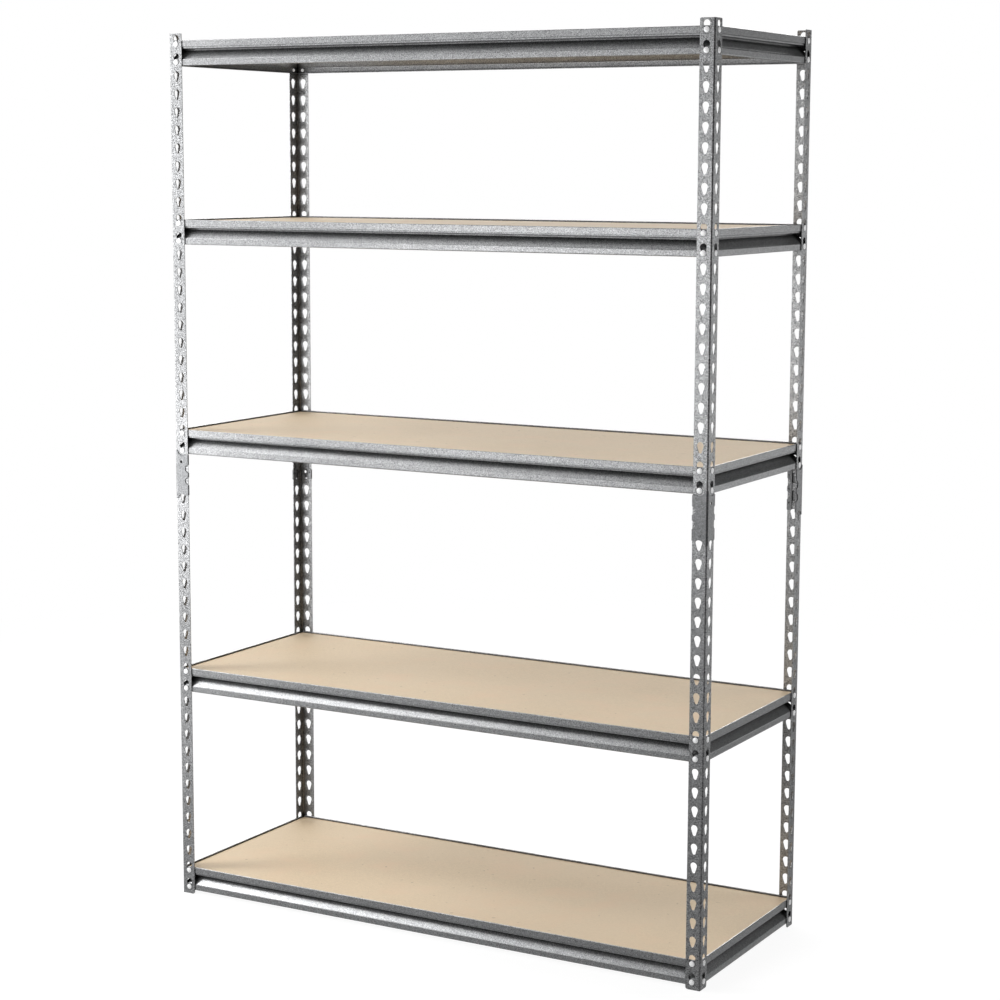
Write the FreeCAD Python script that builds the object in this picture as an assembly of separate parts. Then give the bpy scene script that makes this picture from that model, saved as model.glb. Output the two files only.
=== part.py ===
import FreeCAD, Part

import math
import os

# Boltless steel shelving: four keyhole angle posts, each in two halves joined by a
# splice sleeve, carry five shelves. A shelf is four roll-formed beams whose shoulder
# rivets hang in the keyholes, and a board that lies on the ledges of the beams.
# Millimetres, +Z up, front of the rack towards -Y. The origin is on the floor under
# the middle of the rack.

V = FreeCAD.Vector
Z_AXIS = V(0, 0, 1)

# ---------------------------------------------------------------- driving sizes
RACK_WIDTH = 1228.0           # over the posts, along X
RACK_DEPTH = 462.0            # over the posts, along Y
RACK_HEIGHT = 1828.8

HOLES_PER_FLANGE = 50         # both halves together
PITCH = RACK_HEIGHT / HOLES_PER_FLANGE
SEAT_OF_LOWEST_HOLE = 15.2    # height of the round bottom of the lowest keyhole
SHELF_HOLES = (0, 12, 26, 38, 48)   # lower of the two keyholes each shelf hangs in

# post
POST_SHEET = 1.5
POST_FLANGE = 30.5            # outside width of one flange
POST_BEND = 2.8               # outside radius of the bend
HOLE_LINE = 17.0              # keyhole centre line from the outer corner
FOOT_ROUND = 5.0              # rounded free corners at the floor
TOP_ROUND = 2.5               # and at the top

# keyhole
STEM_R = 3.6
HEAD_R = 6.9
HEAD_RISE = 11.0              # centre of the round head above the seat

# beam
BEAM_SHEET = 1.2
BEAM_EDGE = 7.3               # rivet centre to the nearer edge of the beam
BEAM_HEIGHT = PITCH + 2 * BEAM_EDGE
HEM_GAP = 0.3                 # between the two layers of the lip
HEM_LENGTH = 13.0
LEDGE_DROP = 16.0             # top of the lip to the top of the ledge
RECESS_DEPTH = 15.0           # outer face of the lip to the web behind the recess
SLOPE_TOP = 21.0              # where the web starts to slope out, below the lip top
SLOPE_END = 38.8              # where it is back in the plane of the lip
SLOPE_BEND = 3.0
TIGHT_BEND = 1.6
RETURN_FLANGE = 7.0           # inward flange along the bottom
LIP_DEPTH = 2 * BEAM_SHEET + HEM_GAP
MITRE_SHIFT = 0.3             # pulls each mitred end back, so that neighbours clear

# fits
FACE_GAP = 0.25               # between a flange and a beam or a rivet head
DECK_EDGE_GAP = 2.0           # board edge to the inner face of the lip
DECK_BELOW_LIP = 3.3

# shoulder rivet
SHOULDER_R = 3.5
TENON_R = 2.5
TENON_FIT = 0.05
RIVET_HEAD_R = 5.5
RIVET_HEAD_EDGE = 0.8
RIVET_HEAD_HEIGHT = 1.7
TAIL_R = 3.6
TAIL_HEIGHT = 1.3

# splice sleeve
SLEEVE_SHEET = 1.2
SLEEVE_GAP = 0.1
SLEEVE_HALF_HEIGHT = 42.9     # on the flanges
SLEEVE_CORNER_HALF = 51.0     # the longer part that follows the bend
SLEEVE_CORNER_WIDTH = 3.0
SLEEVE_CORNER_SLOPE = 9.0
SLEEVE_HEM_WIDTH = 10.2
SLEEVE_NOTCH_R = 8.3
SLEEVE_NOTCH_OFFSET = 13.3
SLEEVE_DIMPLE_R = 2.0
SLEEVE_DIMPLE_PITCH = 28.6
SLEEVE_DIMPLE_INSET = 5.0
SLEEVE_RELIEF_R = 10.5        # clears the rivet head just above the sleeve
PEEP_HOLE = (13.6, 27.6, 3.1)         # along the flange, above the joint, radius
LANCE_MARK = (13.0, -33.4, 7.0, 1.0)  # along the flange, above the joint, length, width
LANCE_SLANT = 25.0
TURNED_OVER_DROP = PITCH / 2   # of the one sleeve that is fitted upside down

# ---------------------------------------------------------------- derived sizes
HALF_HEIGHT = RACK_HEIGHT / 2
HALF_HOLES = HOLES_PER_FLANGE // 2
FRAME_INSET = POST_SHEET + FACE_GAP   # outer face of the posts to that of the beams
BEAM_SPAN_X = RACK_WIDTH - 2 * FRAME_INSET
BEAM_SPAN_Y = RACK_DEPTH - 2 * FRAME_INSET
RIVET_FROM_END = HOLE_LINE - FRAME_INSET
DECK_INSET = FRAME_INSET + LIP_DEPTH + DECK_EDGE_GAP
DECK_THICKNESS = LEDGE_DROP - DECK_BELOW_LIP

# cutting tools
OVERSHOOT = 1.0               # past a face
TOOL_START = -2.0             # through a flange along X: in front of the sleeve
TOOL_END = 5.0                # and behind its hem
PAST_FLANGE = POST_FLANGE + 5.0   # clear of the sleeve's free edge
SAME_POINT = 1e-6

CORNERS = {
    "front_left": (-RACK_WIDTH / 2, -RACK_DEPTH / 2, 0),
    "front_right": (RACK_WIDTH / 2, -RACK_DEPTH / 2, 1),
    "rear_right": (RACK_WIDTH / 2, RACK_DEPTH / 2, 2),
    "rear_left": (-RACK_WIDTH / 2, RACK_DEPTH / 2, 3),
}
TURNED_OVER = "rear_left"     # the corner whose sleeve is fitted upside down
BEAMS = {
    "front": ("front_left", BEAM_SPAN_X),
    "right": ("front_right", BEAM_SPAN_Y),
    "rear": ("rear_right", BEAM_SPAN_X),
    "left": ("rear_left", BEAM_SPAN_Y),
}


# ---------------------------------------------------------------- helpers
def seat_height(hole):
    """Height of a keyhole's seat; hole 0 is the lowest."""
    return SEAT_OF_LOWEST_HOLE + hole * PITCH


def place_at_corner(shape, corner, inset=0.0):
    """Turn a shape drawn for the front left corner round to another corner."""
    x, y, quarter_turns = CORNERS[corner]
    placed = shape.copy()
    placed.rotate(V(0, 0, 0), Z_AXIS, 90 * quarter_turns)
    placed.translate(V(x - math.copysign(inset, x), y - math.copysign(inset, y), 0))
    return placed


def swap_flanges(shape):
    """Mirror a tool from the flange along X to the flange along Y."""
    return shape.mirror(V(0, 0, 0), V(1, -1, 0))


def bent_sheet(points, radii, thickness, lift):
    """Closed wire of a bent sheet.

    points are the corners of its middle line, radii the bend radii of that line at the
    inner corners, and lift turns a pair (a, b) of the section into a 3-D vector.
    """
    half = thickness / 2
    sides = {half: [], -half: []}
    starts = {half: points[0], -half: points[0]}
    for i in range(1, len(points) - 1):
        before, corner, after = points[i - 1], points[i], points[i + 1]
        d_in = unit(before, corner)
        d_out = unit(corner, after)
        turn = math.atan2(cross(d_in, d_out), d_in[0] * d_out[0] + d_in[1] * d_out[1])
        reach = radii[i - 1] * math.tan(abs(turn) / 2)
        t_in = step(corner, d_in, -reach)
        side = math.copysign(1, turn)
        centre = step(t_in, left_of(d_in), side * radii[i - 1])
        for offset, edges in sides.items():
            radius = radii[i - 1] - side * offset
            spokes = [angle_of(d_in) - side * math.pi / 2 + turn * part for part in (0, 0.5, 1)]
            begin, middle, end = [on_circle(centre, radius, spoke) for spoke in spokes]
            edges.append(("line", begin))
            edges.append(("arc", middle, end))
        if i == 1:
            for offset in starts:
                starts[offset] = step(points[0], left_of(d_in), offset)
        if i == len(points) - 2:
            for offset, edges in sides.items():
                edges.append(("line", step(points[-1], left_of(d_out), offset)))
    outline = []
    tips = []
    for offset in (half, -half):
        here = starts[offset]
        chain = []
        for edge in sides[offset]:
            if edge[0] == "line":
                if math.dist(here, edge[1]) > SAME_POINT:
                    chain.append(Part.makeLine(lift(*here), lift(*edge[1])))
            else:
                chain.append(Part.Arc(lift(*here), lift(*edge[1]), lift(*edge[2])).toShape())
            here = edge[-1]
        tips.append(here)
        outline.extend(chain)
    outline.append(Part.makeLine(lift(*starts[half]), lift(*starts[-half])))
    outline.append(Part.makeLine(lift(*tips[0]), lift(*tips[1])))
    return Part.Wire(Part.__sortEdges__(outline))


def unit(a, b):
    length = math.dist(a, b)
    return ((b[0] - a[0]) / length, (b[1] - a[1]) / length)


def left_of(d):
    return (-d[1], d[0])


def cross(a, b):
    return a[0] * b[1] - a[1] * b[0]


def step(p, d, distance):
    return (p[0] + d[0] * distance, p[1] + d[1] * distance)


def angle_of(d):
    return math.atan2(d[1], d[0])


def on_circle(centre, radius, angle):
    return (centre[0] + radius * math.cos(angle), centre[1] + radius * math.sin(angle))


def in_plan(x, y):
    return V(x, y, 0)


def in_section(inward, height):
    return V(0, inward, height)


def across_front(along, height):
    """Point on a plane just in front of the flange along X."""
    return V(along, TOOL_START, height)


def prism_through_flange(wire):
    """Cutting tool from a wire drawn with across_front."""
    return Part.Face(wire).extrude(V(0, TOOL_END - TOOL_START, 0))


def cut_all(shape, tools):
    return shape.cut(Part.makeCompound(tools))


def save(shape, node):
    shape.exportStep("parts/" + node + ".step")


# ---------------------------------------------------------------- posts
def keyhole_tool(seat):
    """Teardrop prism: round head over a narrower round-bottomed stem."""
    slant = math.asin((HEAD_R - STEM_R) / HEAD_RISE)
    head_z = seat + HEAD_RISE

    def edge_point(radius, centre_z, side):
        return across_front(
            HOLE_LINE + side * radius * math.cos(slant), centre_z - radius * math.sin(slant))

    stem_right, stem_left = edge_point(STEM_R, seat, 1), edge_point(STEM_R, seat, -1)
    head_right, head_left = edge_point(HEAD_R, head_z, 1), edge_point(HEAD_R, head_z, -1)
    outline = Part.Wire([
        Part.makeLine(stem_right, head_right),
        Part.Arc(head_right, across_front(HOLE_LINE, head_z + HEAD_R), head_left).toShape(),
        Part.makeLine(head_left, stem_left),
        Part.Arc(stem_left, across_front(HOLE_LINE, seat - STEM_R), stem_right).toShape(),
    ])
    return prism_through_flange(outline)


def corner_tool(edge_z, radius, upward):
    """Rounds off the free corner of the flange along X; upward is 1 at the foot, -1 on top."""
    inner = POST_FLANGE - radius
    bulge = radius * (1 - math.sqrt(0.5))
    past_edge = edge_z - upward * OVERSHOOT
    start = across_front(inner, edge_z)
    end = across_front(POST_FLANGE, edge_z + upward * radius)
    middle = across_front(POST_FLANGE - bulge, edge_z + upward * bulge)
    outer_top = across_front(POST_FLANGE + OVERSHOOT, edge_z + upward * radius)
    outer_bottom = across_front(POST_FLANGE + OVERSHOOT, past_edge)
    inner_bottom = across_front(inner, past_edge)
    return prism_through_flange(Part.Wire([
        Part.Arc(start, middle, end).toShape(),
        Part.makeLine(end, outer_top),
        Part.makeLine(outer_top, outer_bottom),
        Part.makeLine(outer_bottom, inner_bottom),
        Part.makeLine(inner_bottom, start),
    ]))


def post_half(lower):
    """One half of the front left post, with its keyholes, at its real height."""
    middle = POST_SHEET / 2
    section = bent_sheet(
        [(POST_FLANGE, middle), (middle, middle), (middle, POST_FLANGE)],
        [POST_BEND - middle], POST_SHEET, in_plan)
    half = Part.Face(section).extrude(V(0, 0, HALF_HEIGHT))
    base = 0.0 if lower else HALF_HEIGHT
    half.translate(V(0, 0, base))
    first = 0 if lower else HALF_HOLES
    tools = [keyhole_tool(seat_height(first + i)) for i in range(HALF_HOLES)]
    if lower:
        tools.append(corner_tool(0.0, FOOT_ROUND, 1))
    else:
        tools.append(corner_tool(RACK_HEIGHT, TOP_ROUND, -1))
    return cut_all(half, tools + [swap_flanges(tool) for tool in tools])


# ---------------------------------------------------------------- splice sleeve
def sleeve_end_tool(upward):
    """Takes the sleeve back to its shorter flange height beside the bend."""
    flange_z = HALF_HEIGHT + upward * SLEEVE_HALF_HEIGHT
    corner_z = HALF_HEIGHT + upward * SLEEVE_CORNER_HALF
    past_z = corner_z + upward * OVERSHOOT
    slope_run = SLEEVE_CORNER_SLOPE - SLEEVE_CORNER_WIDTH
    run_out = SLEEVE_CORNER_WIDTH - slope_run * OVERSHOOT / (SLEEVE_CORNER_HALF - SLEEVE_HALF_HEIGHT)
    points = [
        across_front(run_out, past_z), across_front(SLEEVE_CORNER_SLOPE, flange_z),
        across_front(PAST_FLANGE, flange_z), across_front(PAST_FLANGE, past_z)]
    return prism_through_flange(Part.makePolygon(points + points[:1]))


def disc_tool(along, height, radius, start_y, end_y):
    """Round cutting tool along Y."""
    return Part.makeCylinder(radius, end_y - start_y, V(along, start_y, height), V(0, 1, 0))


def sleeve():
    """Stamped angle sleeve that holds the two halves of the front left post."""
    outer = SLEEVE_GAP + SLEEVE_SHEET / 2
    edge = POST_FLANGE + outer
    hem_y = POST_SHEET + outer
    hem_tip = edge - SLEEVE_HEM_WIDTH
    wrap = SLEEVE_SHEET / 2 + 2 * SLEEVE_GAP
    section = bent_sheet(
        [(hem_tip, hem_y), (edge, hem_y), (edge, -outer), (-outer, -outer),
         (-outer, edge), (hem_y, edge), (hem_y, hem_tip)],
        [wrap, wrap, POST_BEND + outer, wrap, wrap], SLEEVE_SHEET, in_plan)
    body = Part.Face(section).extrude(V(0, 0, 2 * SLEEVE_CORNER_HALF))
    body.translate(V(0, 0, HALF_HEIGHT - SLEEVE_CORNER_HALF))

    outer_edge = edge + SLEEVE_SHEET / 2
    rivet_offset = seat_height(SHELF_HOLES[2]) - HALF_HEIGHT
    both = []
    for upward in (1, -1):
        both.append(sleeve_end_tool(upward))
        both.append(disc_tool(
            outer_edge, HALF_HEIGHT + upward * SLEEVE_NOTCH_OFFSET, SLEEVE_NOTCH_R,
            TOOL_START, TOOL_END))
        both.append(disc_tool(
            HOLE_LINE, HALF_HEIGHT + upward * rivet_offset, SLEEVE_RELIEF_R, TOOL_START, 0.0))
    for tab in (-1, 0, 1):
        both.append(disc_tool(
            outer_edge - SLEEVE_DIMPLE_INSET, HALF_HEIGHT + tab * SLEEVE_DIMPLE_PITCH,
            SLEEVE_DIMPLE_R, POST_SHEET, TOOL_END))
    peep_x, peep_z, peep_r = PEEP_HOLE
    peep = disc_tool(peep_x, HALF_HEIGHT + peep_z, peep_r, TOOL_START, 0.0)
    return cut_all(body, both + [swap_flanges(tool) for tool in both] + [peep, lance_tool()])


def turned_over(shape):
    """The sleeve upside down: its two flanges change places, and it sits lower."""
    turned = shape.copy()
    turned.rotate(V(0, 0, HALF_HEIGHT), V(1, 1, 0), 180)
    turned.translate(V(0, 0, -TURNED_OVER_DROP))
    return turned


def lance_tool():
    """Short slanted slit in the flange along Y."""
    along, height, length, width = LANCE_MARK
    slit = Part.makeBox(-TOOL_START, width, length, V(TOOL_START, -width / 2, -length / 2))
    slit.rotate(V(0, 0, 0), V(1, 0, 0), LANCE_SLANT)
    slit.translate(V(0, along, HALF_HEIGHT + height))
    return slit


# ---------------------------------------------------------------- shelf
def beam(span, lower_seat):
    """Beam along X from the front left corner of the beam frame, outer face at y = 0."""
    top = lower_seat + PITCH + BEAM_EDGE
    half = BEAM_SHEET / 2
    inner_layer = LIP_DEPTH - half
    fold = (inner_layer - half) / 2
    ledge = -LEDGE_DROP - half
    bottom = -BEAM_HEIGHT + half
    middle_line = [
        (half, -HEM_LENGTH), (half, -half), (inner_layer, -half), (inner_layer, ledge),
        (RECESS_DEPTH + half, ledge), (RECESS_DEPTH + half, -SLOPE_TOP),
        (half, -SLOPE_END), (half, bottom), (RETURN_FLANGE, bottom)]
    bends = [fold, fold, TIGHT_BEND, TIGHT_BEND, SLOPE_BEND, SLOPE_BEND, TIGHT_BEND]
    section = bent_sheet(middle_line, bends, BEAM_SHEET, in_section)
    blank = Part.Face(section).extrude(V(span, 0, 0))
    blank.translate(V(0, 0, top))

    deep = RECESS_DEPTH + BEAM_SHEET + OVERSHOOT
    near, far = MITRE_SHIFT, span - MITRE_SHIFT
    footprint = [
        V(near, 0, top + OVERSHOOT), V(far, 0, top + OVERSHOOT),
        V(far - deep, deep, top + OVERSHOOT), V(near + deep, deep, top + OVERSHOOT)]
    mitred = Part.Face(Part.makePolygon(footprint + footprint[:1]))
    formed = blank.common(mitred.extrude(V(0, 0, -BEAM_HEIGHT - 2 * OVERSHOOT)))
    holes = [
        disc_tool(x, z, TENON_R + TENON_FIT, -OVERSHOOT, LIP_DEPTH + OVERSHOOT)
        for x, z, grip in rivet_places(span, lower_seat)]
    return cut_all(formed, holes)


def rivet_places(span, lower_seat):
    """Along, height and grip of a beam's four rivets; the lip is two layers thick."""
    return [
        (x, z, grip)
        for x in (RIVET_FROM_END, span - RIVET_FROM_END)
        for z, grip in ((lower_seat, BEAM_SHEET), (lower_seat + PITCH, LIP_DEPTH))]


def rivet(grip):
    """Shoulder rivet on the Y axis: its shoulder meets the beam at y = 0."""
    under_head = -(POST_SHEET + 2 * FACE_GAP)
    rim = under_head - RIVET_HEAD_EDGE
    crown = under_head - RIVET_HEAD_HEIGHT
    rise = rim - crown
    dome_r = (RIVET_HEAD_R ** 2 + rise ** 2) / (2 * rise)
    half_angle = math.asin(RIVET_HEAD_R / dome_r) / 2
    dome_middle = V(
        dome_r * math.sin(half_angle), crown + dome_r * (1 - math.cos(half_angle)), 0)
    tail = grip + TAIL_HEIGHT
    points = [
        V(RIVET_HEAD_R, rim, 0), V(RIVET_HEAD_R, under_head, 0), V(SHOULDER_R, under_head, 0),
        V(SHOULDER_R, 0, 0), V(TENON_R, 0, 0), V(TENON_R, grip, 0), V(TAIL_R, grip, 0),
        V(TAIL_R - TAIL_HEIGHT / 2, tail, 0), V(0, tail, 0), V(0, crown, 0)]
    edges = [Part.makeLine(a, b) for a, b in zip(points, points[1:])]
    edges.append(Part.Arc(V(0, crown, 0), dome_middle, V(RIVET_HEAD_R, rim, 0)).toShape())
    return Part.Face(Part.Wire(edges)).revolve(V(0, 0, 0), V(0, 1, 0), 360)


def shelf_rivets(lower_seat):
    """The sixteen rivets of one shelf, as separate solids."""
    rivets = []
    for corner, span in BEAMS.values():
        for x, z, grip in rivet_places(span, lower_seat):
            one = rivet(grip)
            one.translate(V(x, 0, z))
            rivets.append(place_at_corner(one, corner, FRAME_INSET))
    return Part.makeCompound(rivets)


def deck(lower_seat):
    """Board that lies on the ledges, inside the lips."""
    ledge_z = lower_seat + PITCH + BEAM_EDGE - LEDGE_DROP
    size_x = RACK_WIDTH - 2 * DECK_INSET
    size_y = RACK_DEPTH - 2 * DECK_INSET
    return Part.makeBox(size_x, size_y, DECK_THICKNESS, V(-size_x / 2, -size_y / 2, ledge_z))


# ---------------------------------------------------------------- assembly
def main():
    os.makedirs("parts", exist_ok=True)
    lower, upper, splice = post_half(True), post_half(False), sleeve()
    for corner in CORNERS:
        save(place_at_corner(lower, corner), "post_" + corner + "_lower")
        save(place_at_corner(upper, corner), "post_" + corner + "_upper")
        fitted = turned_over(splice) if corner == TURNED_OVER else splice
        save(place_at_corner(fitted, corner), "sleeve_" + corner)
    for number, hole in enumerate(SHELF_HOLES, 1):
        shelf = "shelf_" + str(number)
        seat = seat_height(hole)
        for side, (corner, span) in BEAMS.items():
            save(place_at_corner(beam(span, seat), corner, FRAME_INSET), shelf + "_beam_" + side)
        save(shelf_rivets(seat), shelf + "_rivets")
        save(deck(seat), shelf + "_deck")


main()
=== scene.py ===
import math

import bmesh
import bpy
from mathutils import Matrix, Vector


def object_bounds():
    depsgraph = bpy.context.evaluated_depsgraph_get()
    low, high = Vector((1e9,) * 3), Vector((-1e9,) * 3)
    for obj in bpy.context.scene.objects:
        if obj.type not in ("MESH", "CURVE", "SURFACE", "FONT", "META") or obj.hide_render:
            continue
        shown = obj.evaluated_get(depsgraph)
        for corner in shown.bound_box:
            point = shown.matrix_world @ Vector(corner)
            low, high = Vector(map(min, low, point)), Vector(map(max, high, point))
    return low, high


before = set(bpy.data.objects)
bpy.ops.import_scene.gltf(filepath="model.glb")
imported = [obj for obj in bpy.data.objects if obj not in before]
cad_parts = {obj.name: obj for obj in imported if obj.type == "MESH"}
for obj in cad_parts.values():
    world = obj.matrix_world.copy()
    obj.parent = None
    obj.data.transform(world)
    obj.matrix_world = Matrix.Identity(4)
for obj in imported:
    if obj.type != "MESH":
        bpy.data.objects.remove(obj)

CAD_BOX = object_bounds()
RACK_MIDDLE = (CAD_BOX[0].z + CAD_BOX[1].z) / 2

# ---------------------------------------------------------------- camera and light, metres
CAMERA_PLACE = (2.3733, -4.1297, 1.5641)
CAMERA_YAW = math.radians(29.454)     # turned left from +Y
CAMERA_PITCH = math.radians(8.220)    # looking down
CAMERA_ROLL = math.radians(0.197)
CAMERA_LENS = 83.551                  # millimetres, as the sensor
SENSOR_WIDTH = 36.0

# each softbox: direction from the rack in degrees (0 is +X, -90 the front), distance,
# height, width, height of the box, power in watts
SOFTBOXES = {
    "left": (-150, 2.5, 1.40, 0.9, 1.9, 28.5),
    "front": (-110, 2.5, 1.15, 1.1, 1.1, 10.9),
    "high": (-142, 2.5, 3.00, 0.9, 0.9, 11.0),
    "low": (-145, 1.35, 0.75, 0.5, 0.5, 1.2),
    "foot": (-150, 1.50, 0.12, 0.4, 0.25, 0.5),
    "right": (24, 1.60, 1.00, 0.5, 1.6, 3.0),
    "over": (25, 2.2, 3.00, 0.7, 0.7, 4.0),
}
# glows of the surround: brightness, and for each part of the direction the lower end, the
# upper end and the softness of the range it covers
STUDIO_GLOWS = (
    (6.6, {"X": (-2.0, 0.0, 0.1), "Y": (0.0, 2.0, 0.1), "Z": (0.21, 0.57, 0.05)}),
    (0.85, {"X": (0.0, 0.48, 0.06), "Y": (0.0, 2.0, 0.1), "Z": (-0.18, 0.06, 0.06)}),
    (0.7, {"X": (-2.0, -0.5, 0.15), "Y": (-2.0, 0.0, 0.1), "Z": (-0.28, -0.03, 0.08)}),
    (2.7, {"X": (-0.80, -0.44, 0.06), "Y": (-0.45, -0.09, 0.08), "Z": (0.58, 0.90, 0.08)}),
    (0.18, {"Z": (-2.0, -0.09, 0.05)}),
    (0.40, {"Z": (-2.0, -0.77, 0.05)}),
    (1.2, {"X": (-0.75, -0.25, 0.08), "Y": (-2.0, 0.0, 0.1), "Z": (0.0, 0.12, 0.05)}),
    (0.7, {"X": (0.0, 0.35, 0.08), "Y": (0.3, 2.0, 0.1), "Z": (-0.62, -0.30, 0.06)}),
)

FLOOR_SIZE = 30.0
FLOOR_NEAR = (1.0, 3.5)               # plain white takes over between these distances
FLOOR_GREY = 0.15                     # of the part that shows shadows
FLOOR_GLOW = 0.93
FLOOR_DROP = 0.0005                   # below the feet of the posts
BACKDROP_RADIUS = 14.5

# ---------------------------------------------------------------- looks
PAINTED_CORNER_SHADE_REACH = 0.030                  # how far away a neighbour still paints shade into a corner
PAINTED_CREASE_SHADE_REACH = 0.004                  # and paints shade into a crease
RIVET_GLOW = 0.28
BOARD_PALE = (0.80, 0.635, 0.435)
BOARD_TAN = (0.70, 0.55, 0.37)
BOARD_GRAIN = (0.54, 0.40, 0.25)
BOARD_CLOUD = (0.785, 0.63, 0.445)
BOARD_BLUSH = (0.80, 0.59, 0.40)
BOARD_SPECK = (0.40, 0.29, 0.18)
# painted shade: colour of a board's underside, dark where it lies in shade
BOARD_UNDERSIDE_PAINTED_SHADE = (0.10, 0.092, 0.084)
DOWNWARD = (-0.5, -0.9)               # upward part of the normal over which the painted underside shade fades in, from not down to down


def nodes_named(ending="", start=""):
    """CAD nodes whose names start and end as asked, in name order."""
    return [
        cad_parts[name] for name in sorted(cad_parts)
        if name.startswith(start) and name.endswith(ending)]


# ---------------------------------------------------------------- shader helpers
class Shader:
    """A new material, with short calls for the nodes used here."""

    def __init__(self, name):
        self.material = bpy.data.materials.new(name)
        self.material.use_nodes = True
        self.tree = self.material.node_tree
        self.surface = self.tree.nodes["Principled BSDF"]
        self.place = self.add("ShaderNodeTexCoord").outputs["Object"]

    def add(self, kind, **settings):
        node = self.tree.nodes.new(kind)
        for key, value in settings.items():
            setattr(node, key, value)
        return node

    def join(self, source, target):
        self.tree.links.new(source, target)

    def stretched(self, scale):
        """Object coordinates, scaled differently along each axis."""
        mapping = self.add("ShaderNodeMapping")
        mapping.inputs["Scale"].default_value = scale
        self.join(self.place, mapping.inputs["Vector"])
        return mapping.outputs["Vector"]

    def noise(self, scale, detail, roughness):
        node = self.add("ShaderNodeTexNoise")
        node.inputs["Scale"].default_value = scale
        node.inputs["Detail"].default_value = detail
        node.inputs["Roughness"].default_value = roughness
        self.join(self.place, node.inputs["Vector"])
        return node.outputs["Fac"]

    def cells(self, scale, where):
        """Random grey per Voronoi cell."""
        node = self.add("ShaderNodeTexVoronoi")
        node.inputs["Scale"].default_value = scale
        self.join(where, node.inputs["Vector"])
        split = self.add("ShaderNodeSeparateColor")
        self.join(node.outputs["Color"], split.inputs["Color"])
        return split.outputs["Red"]

    def edges(self, scale, where):
        """Distance to the nearest Voronoi cell wall, 0 on the wall."""
        node = self.add("ShaderNodeTexVoronoi", feature="DISTANCE_TO_EDGE")
        node.inputs["Scale"].default_value = scale
        self.join(where, node.inputs["Vector"])
        return node.outputs["Distance"]

    def warped(self, amount, scale):
        """Object coordinates pushed about by a noise, so that cells aren't regular."""
        push = self.add("ShaderNodeTexNoise")
        push.inputs["Scale"].default_value = scale
        self.join(self.place, push.inputs["Vector"])
        move = self.add("ShaderNodeVectorMath", operation="MULTIPLY_ADD")
        self.join(push.outputs["Color"], move.inputs[0])
        move.inputs[1].default_value = (amount,) * 3
        self.join(self.place, move.inputs[2])
        return move.outputs["Vector"]

    def openness(self, distance):
        """How much of the surround a point sees within a distance, 0 deep in a corner."""
        node = self.add("ShaderNodeAmbientOcclusion", samples=6)
        node.inputs["Distance"].default_value = distance
        return node.outputs["AO"]

    def facing_down(self):
        """1 on a face that points down, 0 on the sides and the top."""
        split = self.add("ShaderNodeSeparateXYZ")
        self.join(self.add("ShaderNodeNewGeometry").outputs["Normal"], split.inputs[0])
        fade = self.add("ShaderNodeMapRange")
        fade.inputs["From Min"].default_value, fade.inputs["From Max"].default_value = DOWNWARD
        self.join(split.outputs["Z"], fade.inputs["Value"])
        return fade.outputs["Result"]

    def ramp(self, value, *stops):
        """Colour from a value, between two stops of a position and a colour."""
        node = self.add("ShaderNodeValToRGB")
        for element, (position, colour) in zip(node.color_ramp.elements, stops):
            element.position = position
            element.color = (*colour, 1.0)
        self.join(value, node.inputs["Fac"])
        return node.outputs["Color"]

    def grey_ramp(self, value, low, high, dark=0.0, light=1.0):
        return self.ramp(value, (low, (dark,) * 3), (high, (light,) * 3))

    def mix(self, factor, a, b, blend="MIX"):
        node = self.add("ShaderNodeMix", data_type="RGBA", blend_type=blend)
        for socket, value in ((node.inputs[0], factor), (node.inputs[6], a), (node.inputs[7], b)):
            if isinstance(value, (int, float)):
                socket.default_value = value
            elif isinstance(value, tuple):
                socket.default_value = (*value, 1.0)
            else:
                self.join(value, socket)
        return node.outputs[2]

    def bump(self, height, distance, strength):
        node = self.add("ShaderNodeBump")
        node.inputs["Distance"].default_value = distance
        node.inputs["Strength"].default_value = strength
        self.join(height, node.inputs["Height"])
        self.join(node.outputs["Normal"], self.surface.inputs["Normal"])

    def set(self, **values):
        for key, value in values.items():
            self.surface.inputs[key.replace("_", " ")].default_value = value


# ---------------------------------------------------------------- materials
def silver_vein(name, dark, light, contrast, size, corner):
    """Hammered silver-vein powder coat: bright flakes in a darker, slightly veined ground, with painted
    shade darkening it in corners, recesses and creases.

    The size sets the grain, in metres, and corner is what the painted shade leaves of the colour deep in
    a corner.
    """
    s = Shader(name)
    warped = s.warped(0.9 * size, 0.14 / size)
    grain = s.noise(0.40 / size, 2.0, 0.6)
    flakes = s.cells(0.37 / size, warped)
    clouds = s.noise(16.0, 2.0, 0.5)
    middle = s.mix(0.5, s.grey_ramp(grain, 0.36, 0.64), flakes)
    half = 0.5 / contrast
    ground = s.ramp(middle, (0.5 - half, dark), (0.5 + half, light))
    veins = s.edges(0.21 / size, warped)
    ground = s.mix(s.grey_ramp(veins, 0.0, 0.16, 0.5, 0.0), ground, dark)
    mottle = s.grey_ramp(clouds, 0.3, 0.7, 0.95, 1.04)
    # painted shade: the coat is darkened where neighbours close in, in corners, recesses and creases
    painted_corner_shade = s.grey_ramp(s.openness(PAINTED_CORNER_SHADE_REACH), 0.30, 0.80, corner, 1.0)
    painted_crease_shade = s.grey_ramp(s.openness(PAINTED_CREASE_SHADE_REACH), 0.45, 0.90, 0.25, 1.0)
    for shade in (mottle, painted_corner_shade, painted_crease_shade):
        ground = s.mix(1.0, ground, shade, "MULTIPLY")
    s.join(ground, s.surface.inputs["Base Color"])
    s.join(s.grey_ramp(middle, 0.2, 0.8, 0.46, 0.34), s.surface.inputs["Roughness"])
    s.bump(s.mix(0.5, grain, veins), size / 3, 0.5)
    s.set(Metallic=0.68, Coat_Weight=0.5, Coat_Roughness=0.14)
    return s.material


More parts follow.
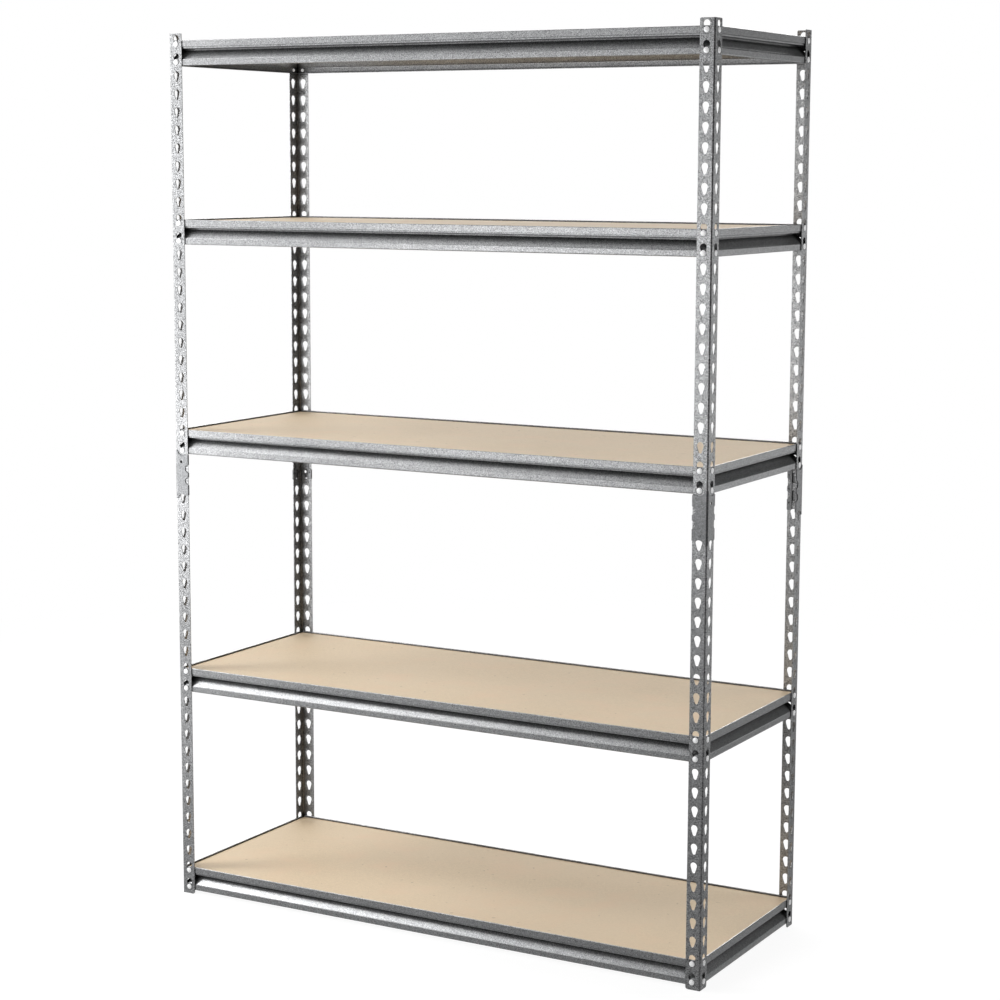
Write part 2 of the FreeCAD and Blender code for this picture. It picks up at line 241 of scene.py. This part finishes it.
def zinc(name):
    """Bright zinc plate, with a slight glow that keeps it near white whichever way it faces."""
    s = Shader(name)
    grain = s.noise(1200.0, 2.0, 0.5)
    stain = s.noise(160.0, 3.0, 0.6)
    s.join(s.ramp(stain, (0.35, (0.90, 0.905, 0.91)), (0.65, (0.97, 0.975, 0.98))),
           s.surface.inputs["Base Color"])
    s.join(s.grey_ramp(grain, 0.3, 0.7, 0.50, 0.36), s.surface.inputs["Roughness"])
    s.bump(grain, 0.0001, 0.4)
    s.set(Metallic=0.25, Emission_Color=(1.0, 1.0, 1.0, 1.0), Emission_Strength=RIVET_GLOW)
    return s.material


def particle_board(name):
    """Pressed wood chips: pale face with soft warm blotches and a few specks, and painted shade on the
    underside.
    """
    s = Shader(name)
    chips = s.cells(230.0, s.stretched((1.0, 1.7, 1.0)))
    fine = s.noise(620.0, 4.0, 0.6)
    clouds = s.noise(4.0, 3.0, 0.5)
    blush = s.noise(11.0, 2.0, 0.5)
    specks = s.noise(75.0, 1.0, 0.5)
    face = s.mix(s.grey_ramp(chips, 0.0, 1.0, 0.0, 0.6), BOARD_PALE, BOARD_TAN)
    face = s.mix(s.grey_ramp(fine, 0.45, 0.80, 0.0, 0.6), face, BOARD_GRAIN)
    face = s.mix(s.grey_ramp(clouds, 0.35, 0.65, 0.0, 0.5), face, BOARD_CLOUD)
    face = s.mix(s.grey_ramp(blush, 0.5, 0.72, 0.0, 0.5), face, BOARD_BLUSH)
    face = s.mix(s.grey_ramp(specks, 0.74, 0.79, 0.0, 0.5), face, BOARD_SPECK)
    # painted shade: faces that point down get the dark underside colour
    face = s.mix(s.facing_down(), face, BOARD_UNDERSIDE_PAINTED_SHADE)
    s.join(face, s.surface.inputs["Base Color"])
    s.join(s.grey_ramp(fine, 0.3, 0.7, 0.72, 0.58), s.surface.inputs["Roughness"])
    s.bump(s.mix(0.5, fine, chips), 0.0002, 0.35)
    s.set(Specular_IOR_Level=0.08)
    return s.material


POST_COAT = silver_vein(
    "post_coat", dark=(0.09, 0.091, 0.093), light=(0.80, 0.81, 0.825),
    contrast=1.7, size=0.00055, corner=0.4)
BEAM_COAT = silver_vein(
    "beam_coat", dark=(0.13, 0.132, 0.135), light=(0.76, 0.77, 0.785),
    contrast=1.2, size=0.00045, corner=0.2)
SLEEVE_COAT = silver_vein(
    "sleeve_coat", dark=(0.17, 0.174, 0.18), light=(0.37, 0.376, 0.385),
    contrast=1.2, size=0.0008, corner=0.4)
RIVET_ZINC = zinc("rivet_zinc_plate")
BOARD = particle_board("particle_board")


def dress(nodes, material):
    for node in nodes:
        for slot in node.material_slots:
            slot.material = material


dress(nodes_named(start="post_"), POST_COAT)
dress(nodes_named(start="sleeve_"), SLEEVE_COAT)
dress([n for n in nodes_named(start="shelf_") if "_beam_" in n.name], BEAM_COAT)
dress(nodes_named(ending="_rivets"), RIVET_ZINC)
dress(nodes_named(ending="_deck"), BOARD)


# ---------------------------------------------------------------- studio
def plane_mesh(name, size, material):
    mesh = bpy.data.meshes.new(name)
    half = size / 2
    mesh.from_pydata(
        [(-half, -half, 0), (half, -half, 0), (half, half, 0), (-half, half, 0)], [],
        [(0, 1, 2, 3)])
    mesh.materials.append(material)
    return mesh


def make_floor():
    """Pale floor: catches a faint contact shadow near the rack, plain white further out."""
    s = Shader("floor_white")
    length = s.add("ShaderNodeVectorMath", operation="LENGTH")
    s.join(s.place, length.inputs[0])
    fade = s.add("ShaderNodeMapRange")
    fade.inputs["From Min"].default_value, fade.inputs["From Max"].default_value = FLOOR_NEAR
    s.join(length.outputs["Value"], fade.inputs["Value"])
    paper = s.add("ShaderNodeBsdfDiffuse")
    paper.inputs["Color"].default_value = (FLOOR_GREY, FLOOR_GREY, FLOOR_GREY, 1.0)
    lit = s.add("ShaderNodeEmission")
    lit.inputs["Strength"].default_value = FLOOR_GLOW
    near = s.add("ShaderNodeAddShader")
    s.join(paper.outputs[0], near.inputs[0])
    s.join(lit.outputs[0], near.inputs[1])
    far = s.add("ShaderNodeEmission")
    blend = s.add("ShaderNodeMixShader")
    s.join(fade.outputs["Result"], blend.inputs[0])
    s.join(near.outputs[0], blend.inputs[1])
    s.join(far.outputs[0], blend.inputs[2])
    s.join(blend.outputs[0], s.tree.nodes["Material Output"].inputs["Surface"])
    s.tree.nodes.remove(s.surface)
    s.material.cycles.emission_sampling = "NONE"
    floor = bpy.data.objects.new("floor", plane_mesh("floor", FLOOR_SIZE, s.material))
    floor.location.z = CAD_BOX[0].z - FLOOR_DROP
    only_for_the_eye(floor)


def make_backdrop():
    """White sphere round everything: the plain background, which casts no light."""
    s = Shader("backdrop_white")
    lit = s.add("ShaderNodeEmission")
    s.join(lit.outputs[0], s.tree.nodes["Material Output"].inputs["Surface"])
    s.tree.nodes.remove(s.surface)
    s.material.cycles.emission_sampling = "NONE"
    mesh = bpy.data.meshes.new("backdrop")
    shell = bmesh.new()
    bmesh.ops.create_uvsphere(shell, u_segments=48, v_segments=24, radius=BACKDROP_RADIUS)
    shell.to_mesh(mesh)
    shell.free()
    mesh.materials.append(s.material)
    backdrop = bpy.data.objects.new("backdrop", mesh)
    only_for_the_eye(backdrop)


def only_for_the_eye(obj):
    """Seen by the camera, but neither lights nor reflects in the rack."""
    bpy.context.scene.collection.objects.link(obj)
    obj.visible_diffuse = False
    obj.visible_glossy = False
    obj.visible_shadow = False


def make_world():
    """Studio surround that lights the rack: dark, but for its glows."""
    world = bpy.data.worlds.new("studio")
    world.use_nodes = True
    tree = world.node_tree
    split = tree.nodes.new("ShaderNodeSeparateXYZ")
    tree.links.new(tree.nodes.new("ShaderNodeTexCoord").outputs["Generated"], split.inputs[0])

    def between(axis, low, high, soft):
        """1 where the direction's part along an axis lies between low and high."""
        rise, fall = [tree.nodes.new("ShaderNodeMapRange") for _ in range(2)]
        for node, (start, end) in ((rise, (low - soft, low + soft)), (fall, (high + soft, high - soft))):
            node.interpolation_type = "SMOOTHSTEP"
            node.inputs["From Min"].default_value = start
            node.inputs["From Max"].default_value = end
            tree.links.new(split.outputs[axis], node.inputs["Value"])
        return combine("MULTIPLY", rise.outputs["Result"], fall.outputs["Result"])

    def combine(operation, a, b):
        node = tree.nodes.new("ShaderNodeMath")
        node.operation = operation
        for socket, value in zip(node.inputs, (a, b)):
            if isinstance(value, float):
                socket.default_value = value
            else:
                tree.links.new(value, socket)
        return node.outputs[0]

    light = 0.0
    for level, limits in STUDIO_GLOWS:
        glow = level
        for axis, (low, high, soft) in limits.items():
            glow = combine("MULTIPLY", between(axis, low, high, soft), glow)
        light = combine("ADD", glow, light)
    background = tree.nodes["Background"]
    tree.links.new(light, background.inputs["Color"])
    bpy.context.scene.world = world


def make_softbox(name, azimuth, distance, height, size_x, size_y, watts):
    light = bpy.data.lights.new(name, "AREA")
    light.shape = "RECTANGLE"
    light.size, light.size_y = size_x, size_y
    light.energy = watts
    obj = bpy.data.objects.new(name, light)
    turn = math.radians(azimuth)
    obj.location = (distance * math.cos(turn), distance * math.sin(turn), height)
    obj.rotation_mode = "QUATERNION"
    middle = Vector((0.0, 0.0, RACK_MIDDLE))
    obj.rotation_quaternion = (middle - obj.location).to_track_quat("-Z", "Y")
    bpy.context.scene.collection.objects.link(obj)


def make_camera():
    data = bpy.data.cameras.new("camera")
    data.lens = CAMERA_LENS
    data.sensor_width = SENSOR_WIDTH
    data.clip_end = 100.0
    camera = bpy.data.objects.new("camera", data)
    turn = (Matrix.Rotation(CAMERA_YAW, 4, "Z")
            @ Matrix.Rotation(math.pi / 2 - CAMERA_PITCH, 4, "X")
            @ Matrix.Rotation(CAMERA_ROLL, 4, "Z"))
    camera.matrix_world = Matrix.Translation(CAMERA_PLACE) @ turn
    bpy.context.scene.collection.objects.link(camera)
    bpy.context.scene.camera = camera


make_floor()
make_backdrop()
make_world()
for name, place in SOFTBOXES.items():
    make_softbox(name, *place)
make_camera()
bpy.context.scene.view_settings.view_transform = "Standard"
